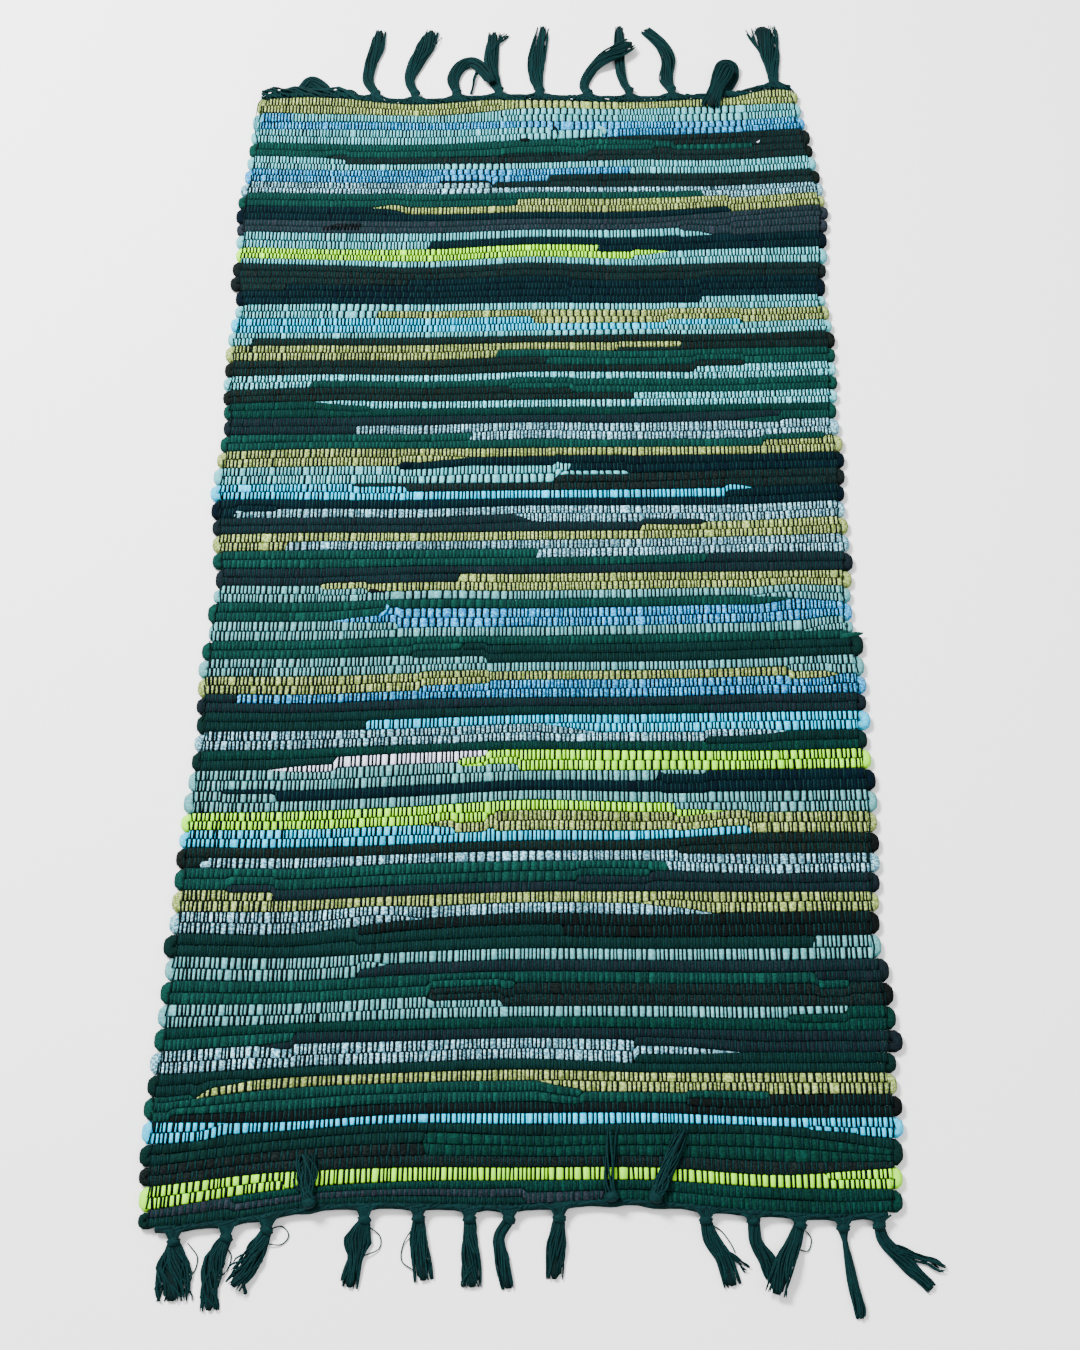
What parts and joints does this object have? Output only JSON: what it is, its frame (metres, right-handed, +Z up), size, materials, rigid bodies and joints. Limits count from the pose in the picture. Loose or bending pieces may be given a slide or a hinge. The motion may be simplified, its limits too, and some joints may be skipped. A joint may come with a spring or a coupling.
{
  "type": "rag rug",
  "caption": "Flat-woven rag rug with hit-and-miss stripes in blues, greens and olive, and a knotted warp fringe at both ends; lies on a floor as a runner or bedside mat.",
  "frame": {"origin": "bottom centre of the whole outline, fringes included, on the surface the rug lies on", "axes": "+Y along the rug towards its far fringe, +X across it, +Z up out of its face"},
  "size_m": [0.6298, 1.3702, 0.0177],
  "materials": {
    "rag_weft": "matte cotton jersey strips in many colours",
    "cotton_warp": "matte twisted cotton yarn, dark teal green"
  },
  "bodies": {
    "root": {"woven_body": "rag_weft", "fringe_far": "cotton_warp", "fringe_near": "cotton_warp"}
  },
  "joints": []
}
